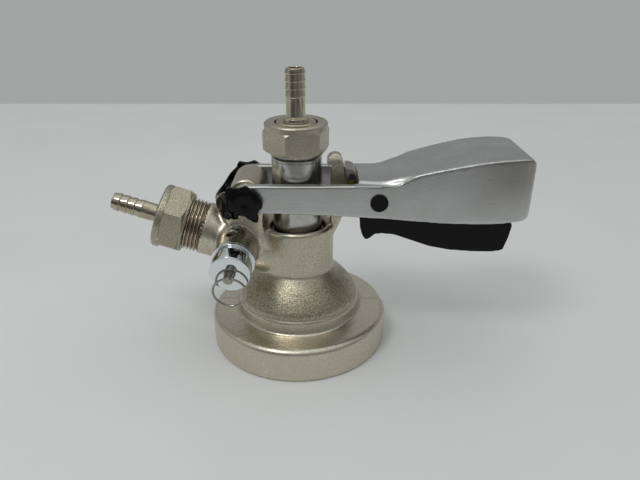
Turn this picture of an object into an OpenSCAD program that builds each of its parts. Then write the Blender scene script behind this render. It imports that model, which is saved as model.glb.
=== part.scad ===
// Keg coupler for a flat slide-on keg neck, with a lift handle and a squeeze trigger.
// Millimetres. The origin is the middle of the underside, on the probe's axis, and +Z is up.
// +X points to the handle, -X to the gas inlet, -Y to the pull ring and +Y to the keg slot's mouth.

/* [Base and bell] */
// Diameter of the base flange
base_d = 92; // [90:0.5:94]
// Height of the flange's flat top
base_h = 17.5; // [16:0.5:19]
// Rounding of the flange's top edge
base_round = 3; // [1:0.5:4]
// How far the rear half of the flange is cut back
rear_step = 1.3; // [0.5:0.1:2]
// Where along Y the cut-back rear half starts
rear_step_y = 3.5; // [2:0.5:8]
// Radius of the raised ring on the flange
ring_r = 32.5; // [31:0.5:34]
// Height of the raised ring's top
ring_top = 24.5; // [23:0.5:26]
// Radius of the bell where it meets the ring
bell_r = 30.6; // [29.5:0.1:31]
// Height at which the bell meets the neck
bell_top = 41.5; // [40:0.5:43]
// Radius of the neck
neck_r = 18.1; // [17.5:0.1:19]
// Height of the neck's rim
neck_top = 65.4; // [64:0.2:67]

/* [Keg slot] */
// Width of the pocket that takes the keg neck's flange
pocket_w = 67; // [64:0.5:70]
// Height of the lips below the pocket
lip_h = 4; // [3:0.5:5]
// Width of the slot between the lips
lip_w = 57; // [54:0.5:60]
// Height of the pocket's ceiling
pocket_top = 13; // [12:0.5:14]

/* [Probe] */
// Diameter of the polished tube
tube_d = 24.3; // [24:0.1:24.6]
// Height of the tube's shoulder under the nut
tube_top = 99.6; // [98:0.2:100]
// Diameter of the lower shaft that enters the keg
shaft_d = 18; // [16:0.5:19]
// Height of the probe's lower end with the handle down
probe_low = 3; // [2:0.5:5]
// Diameter of the beer way
beer_bore_d = 10; // [8:0.5:11]
// Crest diameter of the beer thread
beer_thread_d = 22.9; // [22.7:0.1:23]

/* [Hose fittings] */
// Crest diameter of the gas thread
gas_thread_d = 26.44; // [26.2:0.02:26.5]
// Thread pitch of both fittings
thread_pitch = 1.814; // [1.8:0.002:1.82]
// Upward tilt of the gas inlet
gas_tilt = 18.4; // [16:0.2:20]
// Across flats of the beer nut
beer_nut_af = 28; // [27.5:0.1:28.5]
// Across flats of the gas nut
gas_nut_af = 30; // [29.8:0.1:30.5]
// Diameter of the hose barb crests
barb_d = 9.4; // [9:0.1:9.8]
// Number of barb crests
barb_count = 4; // [3:1:5]
// Length of a barbed end
barb_len = 22.6; // [20:0.2:24]

/* [Handle] */
// Distance of the hinge pin behind the probe axis
hinge_back = 24; // [23.5:0.1:24.5]
// Height of the hinge pin
hinge_z = 83; // [82.5:0.1:83.5]
// Outer width over the two arms
arm_w = 35.9; // [35.5:0.1:36.2]
// Inner width between the two arms
gap_w = 27.2; // [27:0.1:27.4]
// Wall of the hollow grip
grip_wall = 3.2; // [2.5:0.1:4]
// Diameter of the hinge pin
hinge_pin_d = 8; // [7.5:0.1:8.2]
// Diameter of the two drive pins
drive_pin_d = 4.4; // [4:0.1:4.6]

/* [Trigger and latch] */
// Distance of the trigger pin ahead of the probe axis
trigger_x = 38.9; // [38:0.1:40]
// Height of the trigger pin
trigger_z = 81.7; // [81:0.1:82.5]
// Width over the trigger's two sides
trigger_w = 23.6; // [22:0.2:24]
// Thickness of the trigger's sides
trigger_wall = 2; // [1.6:0.1:2.4]
// Radius from the hinge to the face of the catch post
catch_r = 48.3; // [47.8:0.1:48.3]

/* [Relief valve] */
// Radius of the relief valve's cap
cap_r = 9.6; // [9.2:0.1:10]
// Radius of the flange behind the cap
collar_r = 10.5; // [10.2:0.1:11]
// Radius of the pull stem
stem_r = 2.45; // [2.2:0.05:2.6]
// Outer diameter of the pull ring
pull_ring_d = 17; // [16:0.2:18]
// Wire of the pull ring
pull_wire_d = 1.2; // [1:0.1:1.4]

/* [Hidden] */
$fn = 64;

eps = 0.02;
slip = 0.05;
big = 200;

// Places on the probe axis
tube_r = tube_d / 2;
shaft_r = shaft_d / 2;
shaft_top = 24;
neck_bore_r = 13.75;
funnel_h = 3;
chamber_r = 14.5;
chamber_top = 54;
land_top = 60;
gland_r = 14.2;
gland_low = 55.2;
gland_high = 58.2;
seal_bore_r = 12;
seal_r = 20;
seal_t = 3;
slot_floor = 9.3;
drive_r = drive_pin_d / 2;
slot_low = hinge_z - drive_r - 0.5;
slot_high = hinge_z + drive_r + 0.5;
cage_low = 88;
cage_r = 8;
thread_end = 108;

// The gas inlet runs along its own axis, s = 0 on the probe axis
gas_axis_z = 45.65;
boss_r = 13.3;
boss_end = 50.4;
gas_thread_end = 66;
gas_bore_r = 7;
valve_bore_r = 9.4;
valve_low = 44;
gas_nut_low = 59.8;
gas_tail_low = 66.6;
gas_barb_low = 74.4;

// The relief valve's axis leaves its cap's face at relief_at
relief_at = [-30.1, -36.5, 54.1];
relief_az = -92.5;
relief_dip = 8.5;
collar_low = -10.8;
collar_high = -9;
relief_boss_r = 10;
shank_r = 6.45;
shank_low = -16;
relief_bore_r = 6.5;
relief_bore_low = -23;
relief_port_r = 2.5;
stem_tip = 5.2;
ring_hole_z = 3.2;
ring_hole_r = 1;

// The handle's side outline
arm_top = 89.8;
arm_end_r = 6.6;
grip_x0 = 29.2;
grip_end = 113.8;
arc_steps = 10;

// An arc's points, from angle a0 to angle a1
function arc(c, r, a0, a1, n = arc_steps) =
    [for (i = [0 : n]) c + r * [cos(a0 + (a1 - a0) * i / n), sin(a0 + (a1 - a0) * i / n)]];

// A smooth curve through a list of points, with m steps between neighbours
function pick(p, i) = p[max(0, min(len(p) - 1, i))];
function bend(a, b, c, d, t) =
    0.5 * (2 * b + (c - a) * t + (2 * a - 5 * b + 4 * c - d) * t * t
           + (3 * b - a - 3 * c + d) * t * t * t);
function through(p, m = 3) =
    [for (i = [0 : len(p) - 2], j = [0 : m - 1])
        bend(pick(p, i - 1), p[i], p[i + 1], pick(p, i + 2), j / m), p[len(p) - 1]];

// Frames
module on_gas_axis() {
    translate([0, 0, gas_axis_z]) rotate([0, gas_tilt - 90, 0]) children();
}
module on_relief_axis() {
    translate(relief_at) rotate([0, 90 + relief_dip, relief_az]) children();
}
// An outline drawn in X and Z, given a width along Y
module side_plate(width) {
    translate([0, width / 2, 0]) rotate([90, 0, 0]) linear_extrude(width) children();
}
module cross_pin(x, z, r, y0, y1) {
    translate([x, y1, z]) rotate([90, 0, 0]) cylinder(h = y1 - y0, r = r);
}
module tube_ring(r_out, r_in, z0, z1) {
    translate([0, 0, z0]) difference() {
        cylinder(h = z1 - z0, r = r_out);
        translate([0, 0, -1]) cylinder(h = z1 - z0 + 2, r = r_in);
    }
}

// A row of thread ridges around a core
module thread(crest_r, z0, z1) {
    depth = 1.05;
    count = floor((z1 - z0) / thread_pitch);
    rotate_extrude() polygon(concat(
        [[0, z0 - 1], [crest_r - depth, z0 - 1]],
        [for (i = [0 : count - 1], k = [0 : 3])
            [crest_r - (k == 0 || k == 3 ? depth : 0), z0 + (i + [0.05, 0.4, 0.6, 0.95][k]) * thread_pitch]],
        [[crest_r - depth, z1], [0, z1]]));
}

// A hexagon with its corners turned off at both ends
module hexagon(af, z0, z1, turn) {
    corner_r = af / 2 / cos(30);
    edge = 1.1;
    reach = 1.76;
    intersection() {
        translate([0, 0, z0]) rotate(turn) cylinder(h = z1 - z0, r = corner_r, $fn = 6);
        rotate_extrude() polygon([[0, z0], [corner_r - reach, z0], [corner_r + reach, z0 + 2 * edge],
                                  [corner_r + reach, z1 - 2 * edge], [corner_r - reach, z1], [0, z1]]);
    }
}

// A nut with a turned collar above the hexagon and a round foot below it
module hose_nut(af, low, high, turn, collar_r, top, foot_r, foot_low, bore_r, shoulder, lip_r) {
    sink = 0.7;
    edge = 0.7;
    difference() {
        union() {
            hexagon(af, low, high, turn);
            rotate_extrude() polygon([[0, high - sink], [collar_r, high - sink], [collar_r, top - edge],
                                      [collar_r - edge, top], [0, top]]);
            rotate_extrude() polygon([[0, foot_low], [foot_r - 0.4, foot_low], [foot_r, foot_low + 0.4],
                                      [foot_r, low + 1], [0, low + 1]]);
        }
        translate([0, 0, foot_low - 1]) cylinder(h = shoulder - foot_low + 1, r = bore_r);
        translate([0, 0, low]) cylinder(h = top - low + 1, r = lip_r);
    }
}

// A hose tail: a flange that the nut holds, a hub, and a barbed end with a bore
module hose_tail(z0, flange_r, flange_h, hub_r, hub_h, shoulder_r, barb_z, bore_r, bite, step, tip) {
    root_r = barb_d / 2 - bite;
    crest_r = barb_d / 2;
    land = 0.6;
    top = barb_z + barb_len;
    first = top - tip - (barb_count - 1) * step;
    rotate_extrude() polygon(concat(
        [[bore_r, z0], [flange_r, z0], [flange_r, z0 + flange_h], [hub_r, z0 + flange_h],
         [hub_r, z0 + hub_h - 0.6], [hub_r - 0.6, z0 + hub_h], [shoulder_r, z0 + hub_h],
         [shoulder_r, barb_z], [crest_r - 0.2, barb_z + 0.6], [crest_r - 0.2, first]],
        [for (i = [0 : barb_count - 1], k = [0 : 2])
            [[crest_r, crest_r, root_r][k],
             first + i * step + [0, land, i == barb_count - 1 ? tip : step][k]]],
        [[bore_r, top]]));
}

// The body: base, bell and neck, with the hinge ear, the catch post and the inlet boss
module body_outline() {
    polygon(concat(
        [[0, 0], [base_d / 2 - 0.8, 0], [base_d / 2, 0.8]],
        arc([base_d / 2 - base_round, base_h - base_round], base_round, 0, 90, 6),
        [[ring_r + 1.2, base_h]],
        arc([ring_r + 1.2, base_h + 1.5], 1.5, -90, -165, 5),
        [[ring_r - 0.9, ring_top - 1], [ring_r - 1.5, ring_top - 0.3]],
        through([[bell_r, ring_top], [bell_r - 0.5, 27], [28.4, 29.8], [26.3, 32.6],
                 [23.6, 35.6], [20.7, 38.4], [neck_r, bell_top]]),
        [[neck_r, neck_top - 1.2], [neck_r - 1.2, neck_top], [0, neck_top]]));
}
module ear_outline() {
    polygon([[-39, 77], [-39, 73.4], [-31.5, 66], [-26, 58], [-13, 56], [-15.8, 66], [-15.8, 83],
             [-32.2, 83], [-32.6, 78.4], [-34.5, 77]]);
}
module ear() {
    ear_w = 26;
    nose_r = 25;
    nose_x = -13.1;
    barrel_r = 8.2;
    edge = 0.8;
    intersection() {
        side_plate(ear_w) ear_outline();
        translate([nose_x, 0, 50]) cylinder(h = 40, r = nose_r);
    }
    translate([-hinge_back, 0, hinge_z]) rotate([90, 0, 0]) rotate_extrude()
        polygon([[0, -ear_w / 2], [barrel_r - edge, -ear_w / 2], [barrel_r, edge - ear_w / 2],
                 [barrel_r, ear_w / 2 - edge], [barrel_r - edge, ear_w / 2], [0, ear_w / 2]]);
}
// The post's handle side is an arc about the hinge, so the handle swings clear of it
module catch_post() {
    post_w = 9;
    intersection() {
        side_plate(post_w)
            polygon(concat([[13, 50], [16.2, 62], [16.6, 70], [16.6, 94.4], [20.2, 96.6], [20.6, 97.4],
                            [19.9, 97.8], [16.2, 95.6], [15.2, 95]],
                           arc([18.5, 97], 3.8, 185, 40, 8),
                           [[24.5, 97], [25, 70], [21, 62], [17, 50]]));
        cross_pin(-hinge_back, hinge_z, catch_r, -post_w, post_w);
    }
}
module body_mass() {
    rotate_extrude($fn = 128) body_outline();
    ear();
    catch_post();
    on_gas_axis() {
        cylinder(h = boss_end, r = boss_r);
        thread(gas_thread_d / 2, boss_end, gas_thread_end);
    }
    on_relief_axis() translate([0, 0, collar_low - 25]) cylinder(h = 25, r = relief_boss_r);
}
module keg_slot(width, z0, z1) {
    translate([0, 0, z0]) cylinder(h = z1 - z0, r = width / 2);
    translate([-width / 2, 0, z0]) cube([width, base_d, z1 - z0]);
}
module coupler_body() color([0.72, 0.68, 0.58]) {
    difference() {
        body_mass();
        keg_slot(lip_w, -1, lip_h + 1);
        keg_slot(pocket_w, lip_h, pocket_top);
        translate([0, 0, pocket_top - 1]) cylinder(h = seal_t, r = seal_r);
        cylinder(h = chamber_top, r = chamber_r);
        cylinder(h = land_top + 1, r = tube_r + slip);
        translate([0, 0, gland_low]) cylinder(h = gland_high - gland_low, r = gland_r);
        translate([0, 0, land_top]) cylinder(h = neck_top, r = neck_bore_r);
        translate([0, 0, neck_top - funnel_h])
            cylinder(h = funnel_h + eps, r1 = neck_bore_r - 0.1, r2 = neck_bore_r + 2.4);
        on_gas_axis() {
            translate([0, 0, 12]) cylinder(h = 20, r = 4);
            translate([0, 0, 22]) cylinder(h = 60, r = gas_bore_r);
            translate([0, 0, valve_low]) cylinder(h = 40, r = valve_bore_r);
        }
        on_relief_axis() {
            translate([0, 0, relief_bore_low]) cylinder(h = 20, r = relief_bore_r);
            translate([0, 0, relief_bore_low - 12]) cylinder(h = 20, r = relief_port_r);
        }
        cross_pin(-hinge_back, hinge_z, hinge_pin_d / 2 + eps, -30, 30);
        drain_hole();
        rear_cut();
    }
}
// A short drilled hole on top of the relief boss
module drain_hole() {
    translate([-31, -18.6, 65]) cylinder(h = 8, r = 2.4);
}
module rear_cut() {
    difference() {
        translate([-big / 2, rear_step_y, -1]) cube([big, big, base_h + 1]);
        cylinder(h = big, r = base_d / 2 - rear_step);
    }
    difference() {
        translate([-big / 2, rear_step_y, base_h - 0.7]) cube([big, big, 2]);
        cylinder(h = big, r = ring_r + 1.2);
    }
}

module keg_seal() color([0.12, 0.12, 0.13])
    rotate_extrude() polygon([[seal_bore_r, pocket_top - 1.2], [15, pocket_top - 1.8],
                              [seal_r - 0.1, pocket_top - 0.6], [seal_r - 0.1, pocket_top + seal_t - 1],
                              [seal_bore_r, pocket_top + seal_t - 1]]);

module neck_o_ring() color([0.1, 0.1, 0.1])
    tube_ring(gland_r - 0.03, tube_r + 0.03, gland_low + 0.05, gland_high - 0.05);

// The probe: a polished tube over a thinner shaft, with a flat on each side for the drive pins
module probe_outline() {
    polygon([[beer_bore_d / 2, probe_low], [shaft_r - 2, probe_low], [shaft_r - 2, probe_low + 5],
             [shaft_r, probe_low + 5], [shaft_r, shaft_top], [tube_r, shaft_top + 2],
             [tube_r, tube_top - 1.4], [tube_r - 0.25, tube_top - 1.2], [tube_r, tube_top - 1],
             [tube_r, tube_top - 0.4], [tube_r - 0.4, tube_top], [9, tube_top], [9, cage_low + 6],
             [cage_r, cage_low + 6], [cage_r, cage_low], [beer_bore_d / 2, cage_low]]);
}
module probe_tube() color([0.62, 0.64, 0.66])
    difference() {
        union() {
            rotate_extrude() probe_outline();
            difference() {
                thread(beer_thread_d / 2, tube_top, thread_end);
                translate([0, 0, tube_top - 2]) cylinder(h = 20, r = 9);
            }
        }
        for (side = [-1, 1])
            translate([-20, side > 0 ? slot_floor : -slot_floor - 20, slot_low])
                cube([40, 20, slot_high - slot_low]);
    }
module probe_tip_seal() color([0.14, 0.14, 0.15])
    rotate_extrude() polygon([[shaft_r - 2, probe_low + 0.6], [shaft_r + 0.8, probe_low + 1.6],
                              [shaft_r + 1.4, probe_low + 3.4], [shaft_r + 1, probe_low + 5],
                              [shaft_r - 2, probe_low + 5]]);

// The check ball rests in a plastic cage at the top of the beer way
ball_r = 4.2;
ball_seat_r = 3.3;
ball_z = cage_low + sqrt(ball_r * ball_r - ball_seat_r * ball_seat_r) + slip;
module ball_cage() color([0.85, 0.85, 0.82])
    rotate_extrude() polygon([[ball_seat_r, cage_low], [cage_r - eps, cage_low],
                              [cage_r - eps, cage_low + 14], [ball_seat_r, cage_low + 14],
                              [ball_seat_r, cage_low + 12], [ball_r + 1.2, cage_low + 10],
                              [ball_r + 1.2, cage_low + 2]]);
module check_ball() color([0.8, 0.8, 0.78]) translate([0, 0, ball_z]) sphere(r = ball_r);

module beer_washer() color([0.15, 0.15, 0.15])
    tube_ring(10.2, 5.2, thread_end + eps, thread_end + 1.6);
module beer_hose_tail() color([0.74, 0.72, 0.66])
    hose_tail(z0 = thread_end + 1.62, flange_r = 10.9, flange_h = 2.2, hub_r = 9.6, hub_h = 6.5,
              shoulder_r = 6.2, barb_z = 117.7, bore_r = 3, bite = 0.4, step = 3.4, tip = 2.65);
module beer_nut() color([0.7, 0.68, 0.6])
    hose_nut(beer_nut_af, low = 102.3, high = 113.1, turn = 14, collar_r = 15.1, top = 116,
             foot_r = 13.2, foot_low = 100.9, bore_r = 11.5, shoulder = 111.9, lip_r = 10.3);

module gas_check_valve() color([0.16, 0.16, 0.17]) on_gas_axis()
    rotate_extrude() polygon([[1, valve_low + 8], [3.4, valve_low + 8], [5.6, valve_low + 18.4],
                              [9.2, valve_low + 18.4], [9.2, valve_low + 22], [4.2, valve_low + 22]]);
module gas_washer() color([0.15, 0.15, 0.15]) on_gas_axis()
    tube_ring(11.6, 5.2, gas_thread_end + eps, gas_tail_low - eps);
module gas_hose_tail() color([0.74, 0.72, 0.66]) on_gas_axis()
    hose_tail(z0 = gas_tail_low, flange_r = 12, flange_h = 2.4, hub_r = 9, hub_h = 7.2,
              shoulder_r = 6.6, barb_z = gas_barb_low, bore_r = 3, bite = 0.65, step = 3.75, tip = 4.2);
module gas_nut() color([0.7, 0.68, 0.6]) on_gas_axis()
    hose_nut(gas_nut_af, low = gas_nut_low, high = 70, turn = 0, collar_r = 15.9, top = 73,
             foot_r = 15, foot_low = 58.4, bore_r = gas_thread_d / 2 + slip, shoulder = 69.2, lip_r = 9.3);

// The relief valve: a chromed cap with a sprung seal that the ring pulls off its seat
module relief_collar() color([0.75, 0.76, 0.78]) on_relief_axis()
    rotate_extrude() polygon([[shank_r + 0.1, collar_low], [collar_r - 0.4, collar_low],
                              [collar_r, collar_low + 0.4], [collar_r, collar_high - 0.4],
                              [collar_r - 0.4, collar_high], [shank_r + 0.1, collar_high]]);
module relief_cap() color([0.78, 0.8, 0.83]) on_relief_axis()
    difference() {
        rotate_extrude() polygon([[0, shank_low], [shank_r - eps, shank_low], [shank_r - eps, collar_high],
                                  [cap_r, collar_high], [cap_r, -0.5], [cap_r - 0.5, 0], [0, 0]]);
        translate([0, 0, shank_low - 1]) cylinder(h = 14.6, r = 5.2);
        translate([0, 0, -5]) cylinder(h = 10, r = stem_r + slip);
    }
module relief_seal() color([0.12, 0.12, 0.12]) on_relief_axis()
    tube_ring(5, 1.5, relief_bore_low + eps, relief_bore_low + 2);
module relief_stem() color([0.42, 0.42, 0.42]) on_relief_axis()
    difference() {
        rotate_extrude() polygon([[0, relief_bore_low], [1.5 - eps, relief_bore_low],
                                  [1.5 - eps, relief_bore_low + 2], [5, relief_bore_low + 2],
                                  [5, relief_bore_low + 3], [stem_r, relief_bore_low + 3],
                                  [stem_r, stem_tip - 0.9], [stem_r - 0.4, stem_tip - 0.7],
                                  [stem_r - 0.4, stem_tip - 0.3], [stem_r - 0.7, stem_tip],
                                  [0, stem_tip]]);
        rotate([90, 0, 0]) translate([0, ring_hole_z, -5]) cylinder(h = 10, r = ring_hole_r);
    }

// The least free space between neighbouring turns of a coil, measured on its points
function turn_gap(pts, turn, wire_r) =
    min([for (i = [0 : len(pts) - turn - 1]) norm(pts[i + turn] - pts[i])]) - 2 * wire_r;

// One unbroken wire, swept along a helix of hexagonal rings
module coil(r, wire_r, z0, z1, turns) {
    per_turn = 8;
    sides = 6;
    n = turns * per_turn;
    pts = [for (i = [0 : n], k = [0 : sides - 1])
        let (a = 360 * i / per_turn, b = 360 * k / sides, rr = r + wire_r * cos(b))
        [rr * cos(a), rr * sin(a), z0 + (z1 - z0) * i / n + wire_r * sin(b)]];
    wall = [for (i = [0 : n - 1], k = [0 : sides - 1], h = [0, 1])
        let (a = i * sides + k, b = i * sides + (k + 1) % sides)
        h == 0 ? [a, a + sides, b] : [b, a + sides, b + sides]];
    last = n * sides;
    caps = [for (k = [1 : sides - 2], h = [0, 1])
        h == 0 ? [0, k, k + 1] : [last, last + k + 1, last + k]];
    echo(least_turn_gap = turn_gap(pts, sides * per_turn, wire_r));
    polyhedron(points = pts, faces = concat(wall, caps));
}
module relief_spring() color([0.6, 0.62, 0.64]) on_relief_axis()
    coil(r = 3.9, wire_r = 0.45, z0 = relief_bore_low + 3.6, z1 = -3, turns = 6);

// The pull ring hangs from the stem's cross hole
pull_r = (pull_ring_d - pull_wire_d) / 2;
module pull_ring() color([0.6, 0.6, 0.58]) on_relief_axis()
    translate([pull_r, 0, ring_hole_z]) rotate_extrude()
        translate([pull_r, 0]) circle(r = pull_wire_d / 2, $fn = 24);

// The hinge: one pin through the ear, held by a one-piece clip with a lobed disc on each end
pin_half = 20;
pin_reach = arm_w / 2 - 1.4;
module hinge_pin() color([0.6, 0.6, 0.6])
    cross_pin(-hinge_back, hinge_z, hinge_pin_d / 2, -pin_half, pin_half);
clip_at = [-23.6, 82];
// The disc's edge as [angle, radius]: two long lobes opposite each other and three short ones
clip_edge = [[131, 10.9], [120, 8.9], [108, 8.1], [96, 8.2], [86, 8.7], [76, 8.3], [62, 7.7], [47, 7.6],
             [30, 7.6], [14, 7.9], [0, 8.4], [-12, 8.2], [-25, 7.4], [-36, 7.2], [-46, 8.8], [-54, 10.3],
             [-60, 10.6], [-67, 9.6], [-76, 7.8], [-90, 7.2], [-107, 7.3], [-125, 7.6], [-145, 7.8],
             [-165, 8], [-185, 8.2], [-200, 9], [-213, 10.1], [-222, 10.7]];
module lobed_outline() {
    polygon([for (p = through(concat(clip_edge, [[-229, 10.9]])))
        if (p[0] > -228.9) p[1] * [cos(p[0]), sin(p[0])]]);
}
disc_in = 18.3;
disc_out = 21.4;
module hinge_clip() color([0.1, 0.1, 0.11])
    difference() {
        union() {
            for (side = [-1, 1])
                translate([clip_at[0], side > 0 ? disc_out : -disc_in, clip_at[1]])
                    rotate([90, 0, 0]) linear_extrude(disc_out - disc_in) lobed_outline();
            clip_strap();
        }
        cross_pin(-hinge_back, hinge_z, hinge_pin_d / 2 + eps, -pin_half - eps, pin_half + eps);
    }
module clip_strap() {
    strap_x = -13.1;
    strap_r = 27.2;
    strap_low = 70;
    strap_h = 20;
    intersection() {
        translate([strap_x, 0, strap_low]) difference() {
            cylinder(h = strap_h, r = strap_r);
            translate([0, 0, -1]) cylinder(h = strap_h + 2, r = strap_r - 1.6);
        }
        side_plate(disc_out * 2)
            polygon(concat(through([[-27, 88.6], [-31, 88], [-35, 85.4], [-38, 81.4], [-41, 79.4]]),
                           [[-41, 74.4]], through([[-38, 74.2], [-35, 73.8], [-31, 73], [-27, 73]])));
    }
}

// The handle: two arms and a hollow grip in one casting
function grip_top() =
    through([[-hinge_back, arm_top], [20, arm_top], [39, arm_top + 0.2], [47, 92.2], [56, 95.7],
             [70, 99.2], [83, 101.8], [94, 103.1], [103, 103.4]]);
grip_tip = [[107.4, 102.9], [110.6, 100], [112.8, 92.4], [grip_end, 84], [113.2, 77.4], [112.4, 74.8],
            [110.8, 73.2]];
grip_low = [[96, 72.4], [72, 72.2], [48.5, 73], [25, 74.6], [1.4, 75.8], [-hinge_back, hinge_z - arm_end_r]];
module lever_outline() {
    polygon(concat(grip_top(), grip_tip, grip_low, arc([-hinge_back, hinge_z], arm_end_r, 268, 92)));
}
module grip_plan(inset) {
    w = arm_w / 2;
    half = concat(through([[44, w], [50, w + 0.5], [56, w + 1.5], [70, w + 2.9], [83, w + 3.7], [92, w + 3.6],
                           [100, w + 2.9], [105, w + 1.9]]),
                  [[108, w + 0.3], [110, w - 2.4], [111.6, 12], [113.2, 6], [grip_end, 0]]);
    inner = [for (p = half) [min(p[0], grip_end - inset), max(0, p[1] - inset)]];
    polygon(concat([[-40, w - inset]], inner,
                   [for (i = [len(inner) - 1 : -1 : 0]) [inner[i][0], -inner[i][1]]],
                   [[-40, inset - w]]));
}
plate_low = arm_top - grip_wall;
module grip_room() {
    roof_end = 103;
    side_plate(big)
        polygon(concat([[grip_x0 - 1, 60], [grip_x0 - 1, plate_low]],
                       [for (p = grip_top()) if (p[0] > grip_x0 && p[0] < roof_end) p - [0, grip_wall]],
                       [[106.4, 96], [108.6, 90.4], [109.4, 84], [109, 60]]));
}
module lever_handle() color([0.66, 0.67, 0.68])
    difference() {
        intersection() {
            side_plate(60) lever_outline();
            translate([0, 0, 50]) linear_extrude(80) grip_plan(0);
        }
        translate([-60, -gap_w / 2, 50]) cube([60 + grip_x0, gap_w, 60]);
        intersection() {
            grip_room();
            translate([0, 0, 40]) linear_extrude(80) grip_plan((arm_w - gap_w) / 2);
        }
        cross_pin(-hinge_back, hinge_z, hinge_pin_d / 2 + slip, -30, 30);
        cross_pin(0, hinge_z, drive_r + eps, -pin_reach - eps, pin_reach + eps);
        cross_pin(trigger_x, trigger_z, trigger_pin_r + eps, -30, 30);
    }
module drive_pins() color([0.6, 0.6, 0.6]) {
    cross_pin(0, hinge_z, drive_r, -pin_reach, -slot_floor - 0.3);
    cross_pin(0, hinge_z, drive_r, slot_floor + 0.3, pin_reach);
}

// The latch block sits under the grip's front edge, with a dark buffer and a brass pin
latch_w = 13;
nose_at = [24.6, 90.4];
nose_r = 4.3;
module latch_block() color([0.36, 0.35, 0.35])
    difference() {
        side_plate(latch_w)
            polygon(concat([[25, 80.5], [34, 80.5], [34, plate_low - 0.2], [grip_x0 - eps, plate_low - 0.2],
                            [grip_x0 - eps, 89.6]],
                           arc(nose_at, nose_r, -10, 120, 14), [[21, 92], [21, 86]]));
        cross_pin(-hinge_back, hinge_z, catch_r + 0.4, -20, 20);
        cross_pin(buffer_at[0], buffer_at[1], buffer_r + eps, -20, 20);
        cross_pin(brass_at[0], brass_at[1], brass_r + eps, -20, 20);
    }
buffer_at = [26.6, 90.8];
buffer_r = 1.5;
brass_at = [26.4, 88];
brass_r = 1.1;
module latch_buffer() color([0.08, 0.08, 0.09])
    cross_pin(buffer_at[0], buffer_at[1], buffer_r, -latch_w / 2, latch_w / 2);
module latch_pin() color([0.8, 0.65, 0.2])
    cross_pin(brass_at[0], brass_at[1], brass_r, -latch_w / 2, latch_w / 2);

// The trigger: a channel with two sides and a web, open to the front and the top
trigger_pin_r = 2.5;
module trigger_outline() {
    polygon(concat([[33, 75.4], [27, 75], [24.8, 76.2], [25.4, 78.4], [34, 79]],
                   arc([trigger_x, trigger_z], 4.2, 190, -10),
                   [[60, 74], [99, 71.5], [103.4, 70.5], [104.8, 67.4], [103.8, 61.1], [102, 54.8], [100, 53.8],
                    [95.2, 53.3], [85.2, 53.6], [75.2, 54.4], [65.1, 56.4], [55, 60], [47.5, 62.7], [41.6, 63.3],
                    [38.2, 63], [36, 61], [34.2, 60], [33, 60.6], [31.8, 62.7], [30.8, 66.4], [30.4, 71.4]]));
}
module trigger_hollow() {
    polygon([[28, 90], [28, 64], [34.6, 62.4], [38, 65.3], [42, 65.6], [48, 65], [55.6, 62.3], [65.7, 58.6],
             [75.6, 56.6], [85.4, 55.8], [95.2, 55.5], [99.4, 56], [100.4, 57], [101.8, 62],
             [102.6, 67], [102, 90]]);
}
module trigger() color([0.08, 0.08, 0.09])
    difference() {
        side_plate(trigger_w) trigger_outline();
        side_plate(trigger_w - 2 * trigger_wall) trigger_hollow();
        cross_pin(trigger_x, trigger_z, trigger_pin_r + slip, -30, 30);
    }
module trigger_pin() color([0.1, 0.1, 0.1]) {
    head_r = 4.2;
    near = arm_w / 2 + eps;
    far = arm_w / 2 + 0.7;
    cross_pin(trigger_x, trigger_z, trigger_pin_r, -near, near);
    cross_pin(trigger_x, trigger_z, head_r, near, far);
    cross_pin(trigger_x, trigger_z, head_r, -far, -near);
}
module trigger_spring() color([0.6, 0.62, 0.64])
    translate([47.5, 0, 66.5]) coil(r = 3.4, wire_r = 0.5, z0 = 0, z1 = 20.6, turns = 7);

coupler_body();
keg_seal();
neck_o_ring();
probe_tube();
probe_tip_seal();
ball_cage();
check_ball();
beer_washer();
beer_hose_tail();
beer_nut();
gas_check_valve();
gas_washer();
gas_hose_tail();
gas_nut();
relief_cap();
relief_collar();
relief_spring();
relief_stem();
relief_seal();
pull_ring();
hinge_pin();
hinge_clip();
lever_handle();
drive_pins();
latch_block();
latch_buffer();
latch_pin();
trigger();
trigger_pin();
trigger_spring();
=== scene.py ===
# %% [markdown]
# # A keg coupler on a white table
# A keg coupler slides onto the neck of a beer keg. Its handle pushes a steel probe down into the
# keg, gas goes in through the tilted inlet on the left, and beer comes out of the barbed tail on
# top. The solids of every piece are already made and packed with their joints. This lesson gives
# them the looks of the real thing: a sand-blasted and nickel-plated casting, turned nuts, mirror
# chrome, a tumbled aluminium handle and black nylon.

# %% Load the frame
import math
import bmesh
import bpy
import numpy as np
from mathutils import Matrix, Vector


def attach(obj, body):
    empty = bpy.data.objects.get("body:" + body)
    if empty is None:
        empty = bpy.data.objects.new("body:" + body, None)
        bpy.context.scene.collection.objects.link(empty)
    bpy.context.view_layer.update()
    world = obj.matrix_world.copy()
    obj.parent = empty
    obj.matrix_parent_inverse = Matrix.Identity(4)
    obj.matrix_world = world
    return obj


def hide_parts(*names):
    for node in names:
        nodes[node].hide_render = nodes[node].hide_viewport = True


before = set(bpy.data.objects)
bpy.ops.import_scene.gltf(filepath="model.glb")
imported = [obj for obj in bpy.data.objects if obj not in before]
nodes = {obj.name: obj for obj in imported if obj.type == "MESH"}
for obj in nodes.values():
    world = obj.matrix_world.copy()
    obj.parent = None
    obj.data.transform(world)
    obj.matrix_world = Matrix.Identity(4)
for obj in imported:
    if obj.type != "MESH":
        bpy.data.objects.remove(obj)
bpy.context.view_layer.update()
MM = 0.001

# %% [markdown]
# ## Camera
# The photograph is taken from above the object and looks down by 25 degrees. The camera could be
# placed by eye, but the ellipses of the base and of the top nut fix it much better: their widths
# and heights give the distance, the height and the tilt.

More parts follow.
